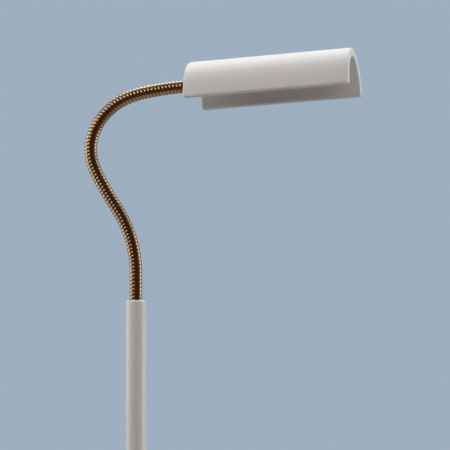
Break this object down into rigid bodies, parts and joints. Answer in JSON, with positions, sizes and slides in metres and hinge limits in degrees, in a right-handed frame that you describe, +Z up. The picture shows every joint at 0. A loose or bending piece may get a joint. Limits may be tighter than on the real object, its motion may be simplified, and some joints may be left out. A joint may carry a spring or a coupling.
{
  "type": "floor lamp",
  "caption": "Floor lamp with a weighted round foot, a slim pole, a ribbed flexible neck and a half-tube shade that aims its light down.",
  "frame": {"origin": "on the floor, on the pole's axis, at the middle of the foot's underside", "axes": "+Z up along the pole; the neck's S lies in the XZ plane and the shade points towards +X"},
  "size_m": [0.402, 0.25, 1.3977],
  "materials": {
    "white_paint": "satin",
    "plaster": "matte",
    "brass": "satin",
    "steel": "satin",
    "iron": "matte",
    "rubber": "matte",
    "black_plastic": "satin",
    "porcelain": "gloss",
    "glass": "gloss"
  },
  "bodies": {
    "stand": {"base_pads": "rubber", "base_plug": "rubber", "base_plate": "steel", "plate_screws": "steel", "base_weight": "iron", "base_cover": "white_paint", "cord_inlet": "rubber", "pole_socket": "steel", "socket_bolt": "steel", "socket_washer": "steel", "foot_collar": "white_paint", "collar_screw": "steel", "switch_body": "black_plastic", "switch_bezel": "white_paint", "switch_spring": "steel", "pole_lower": "white_paint", "pole_coupler": "steel", "pole_upper": "white_paint", "pole_cap": "white_paint", "cap_screw": "steel", "neck_root": "brass"},
    "button": {"switch_button": "black_plastic"},
    "neck_01": {"neck_link_01": "brass"},
    "neck_02": {"neck_link_02": "brass"},
    "neck_03": {"neck_link_03": "brass"},
    "neck_04": {"neck_link_04": "brass"},
    "neck_05": {"neck_link_05": "brass"},
    "neck_06": {"neck_link_06": "brass"},
    "neck_07": {"neck_link_07": "brass"},
    "neck_08": {"neck_link_08": "brass"},
    "neck_09": {"neck_link_09": "brass"},
    "neck_10": {"neck_link_10": "brass"},
    "neck_11": {"neck_link_11": "brass"},
    "neck_12": {"neck_link_12": "brass"},
    "neck_13": {"neck_link_13": "brass"},
    "neck_14": {"neck_link_14": "brass"},
    "neck_15": {"neck_link_15": "brass"},
    "neck_16": {"neck_link_16": "brass"},
    "neck_17": {"neck_link_17": "brass"},
    "neck_18": {"neck_link_18": "brass"},
    "neck_19": {"neck_link_19": "brass"},
    "neck_20": {"neck_link_20": "brass", "neck_ferrule": "brass", "neck_nipple": "brass", "lock_nut": "steel", "lampholder_cap": "porcelain", "lampholder_body": "porcelain", "lampholder_shell": "brass", "lampholder_contact": "brass", "bulb_cap": "brass", "bulb_glass": "glass", "bulb_filament": "steel"},
    "shade": {"shade": "plaster", "shade_inserts": "brass", "shade_bracket": "white_paint", "bracket_screws": "steel"}
  },
  "joints": [
    {"name": "neck_bend_lower", "type": "hinge", "parent": "stand", "child": "neck_01", "pos_m": [0, 0, 1.107], "axis": [0.002, 1, 0], "range_deg": [-8, 10]},
    {"name": "neck_sway_lower", "type": "hinge", "parent": "neck_01", "child": "neck_02", "pos_m": [0, 0, 1.12511], "axis": [1, 0, 0.0054], "range_deg": [-4, 4]},
    {"name": "neck_bend_lower_2", "type": "hinge", "parent": "neck_02", "child": "neck_03", "pos_m": [-0.00019, 0, 1.14322], "axis": [0.002, 1, 0], "range_deg": [-8, 10]},
    {"name": "neck_sway_lower_2", "type": "hinge", "parent": "neck_03", "child": "neck_04", "pos_m": [-0.00264, 0, 1.16116], "axis": [0.9805, 0, 0.1967], "range_deg": [-4, 4]},
    {"name": "neck_bend_lower_3", "type": "hinge", "parent": "neck_04", "child": "neck_05", "pos_m": [-0.00731, 0, 1.17866], "axis": [0.002, 1, 0], "range_deg": [-8, 10]},
    {"name": "neck_sway_lower_3", "type": "hinge", "parent": "neck_05", "child": "neck_06", "pos_m": [-0.01411, 0, 1.19545], "axis": [0.9015, 0, 0.4328], "range_deg": [-4, 4]},
    {"name": "neck_bend_lower_4", "type": "hinge", "parent": "neck_06", "child": "neck_07", "pos_m": [-0.02295, 0, 1.21125], "axis": [0.002, 1, 0], "range_deg": [-8, 10]},
    {"name": "neck_sway_lower_4", "type": "hinge", "parent": "neck_07", "child": "neck_08", "pos_m": [-0.03282, 0, 1.22644], "axis": [0.849, 0, 0.5284], "range_deg": [-4, 4]},
    {"name": "neck_bend_lower_5", "type": "hinge", "parent": "neck_08", "child": "neck_09", "pos_m": [-0.04209, 0, 1.242], "axis": [0.002, 1, 0], "range_deg": [-8, 10]},
    {"name": "neck_sway_lower_5", "type": "hinge", "parent": "neck_09", "child": "neck_10", "pos_m": [-0.05075, 0, 1.2579], "axis": [0.9044, 0, 0.4266], "range_deg": [-4, 4]},
    {"name": "neck_bend_upper", "type": "hinge", "parent": "neck_10", "child": "neck_11", "pos_m": [-0.05751, 0, 1.2747], "axis": [0.002, 1, 0], "range_deg": [-12, 4]},
    {"name": "neck_sway_upper", "type": "hinge", "parent": "neck_11", "child": "neck_12", "pos_m": [-0.05891, 0, 1.29276], "axis": [0.9972, 0, -0.0752], "range_deg": [-4, 4]},
    {"name": "neck_bend_upper_2", "type": "hinge", "parent": "neck_12", "child": "neck_13", "pos_m": [-0.05482, 0, 1.3104], "axis": [0.002, 1, 0], "range_deg": [-12, 4]},
    {"name": "neck_sway_upper_2", "type": "hinge", "parent": "neck_13", "child": "neck_14", "pos_m": [-0.04561, 0, 1.32599], "axis": [0.7905, 0, -0.6125], "range_deg": [-4, 4]},
    {"name": "neck_bend_upper_3", "type": "hinge", "parent": "neck_14", "child": "neck_15", "pos_m": [-0.03281, 0, 1.3388], "axis": [0.002, 1, 0], "range_deg": [-12, 4]},
    {"name": "neck_sway_upper_3", "type": "hinge", "parent": "neck_15", "child": "neck_16", "pos_m": [-0.01744, 0, 1.34837], "axis": [0.4283, 0, -0.9037], "range_deg": [-4, 4]},
    {"name": "neck_bend_upper_4", "type": "hinge", "parent": "neck_16", "child": "neck_17", "pos_m": [-0.00029, 0, 1.35421], "axis": [0.002, 1, 0], "range_deg": [-12, 4]},
    {"name": "neck_sway_upper_4", "type": "hinge", "parent": "neck_17", "child": "neck_18", "pos_m": [0.01756, 0, 1.35727], "axis": [0.1474, 0, -0.9891], "range_deg": [-4, 4]},
    {"name": "neck_bend_upper_5", "type": "hinge", "parent": "neck_18", "child": "neck_19", "pos_m": [0.03552, 0, 1.35955], "axis": [0.002, 1, 0], "range_deg": [-12, 4]},
    {"name": "neck_sway_upper_5", "type": "hinge", "parent": "neck_19", "child": "neck_20", "pos_m": [0.05357, 0, 1.36103], "axis": [0.0597, 0, -0.9982], "range_deg": [-4, 4]},
    {"name": "shade_roll", "type": "hinge", "parent": "neck_20", "child": "shade", "pos_m": [0.07167, 0, 1.36171], "axis": [0.9993, 0, 0.0377], "range_deg": [-60, 60]},
    {"name": "button_press", "type": "slide", "parent": "stand", "child": "button", "axis": [0, 0, 1], "range_m": [-0.003, 0], "stiffness_N_per_m": 600, "springref_m": 0.002, "deforming": ["switch_spring"]}
  ],
  "couplings": [
    {"joint": "neck_bend_lower_2", "follows": "neck_bend_lower", "ratio": 1},
    {"joint": "neck_sway_lower_2", "follows": "neck_sway_lower", "ratio": 1},
    {"joint": "neck_bend_lower_3", "follows": "neck_bend_lower", "ratio": 1},
    {"joint": "neck_sway_lower_3", "follows": "neck_sway_lower", "ratio": 1},
    {"joint": "neck_bend_lower_4", "follows": "neck_bend_lower", "ratio": 1},
    {"joint": "neck_sway_lower_4", "follows": "neck_sway_lower", "ratio": 1},
    {"joint": "neck_bend_lower_5", "follows": "neck_bend_lower", "ratio": 1},
    {"joint": "neck_sway_lower_5", "follows": "neck_sway_lower", "ratio": 1},
    {"joint": "neck_bend_upper_2", "follows": "neck_bend_upper", "ratio": 1},
    {"joint": "neck_sway_upper_2", "follows": "neck_sway_upper", "ratio": 1},
    {"joint": "neck_bend_upper_3", "follows": "neck_bend_upper", "ratio": 1},
    {"joint": "neck_sway_upper_3", "follows": "neck_sway_upper", "ratio": 1},
    {"joint": "neck_bend_upper_4", "follows": "neck_bend_upper", "ratio": 1},
    {"joint": "neck_sway_upper_4", "follows": "neck_sway_upper", "ratio": 1},
    {"joint": "neck_bend_upper_5", "follows": "neck_bend_upper", "ratio": 1},
    {"joint": "neck_sway_upper_5", "follows": "neck_sway_upper", "ratio": 1}
  ]
}
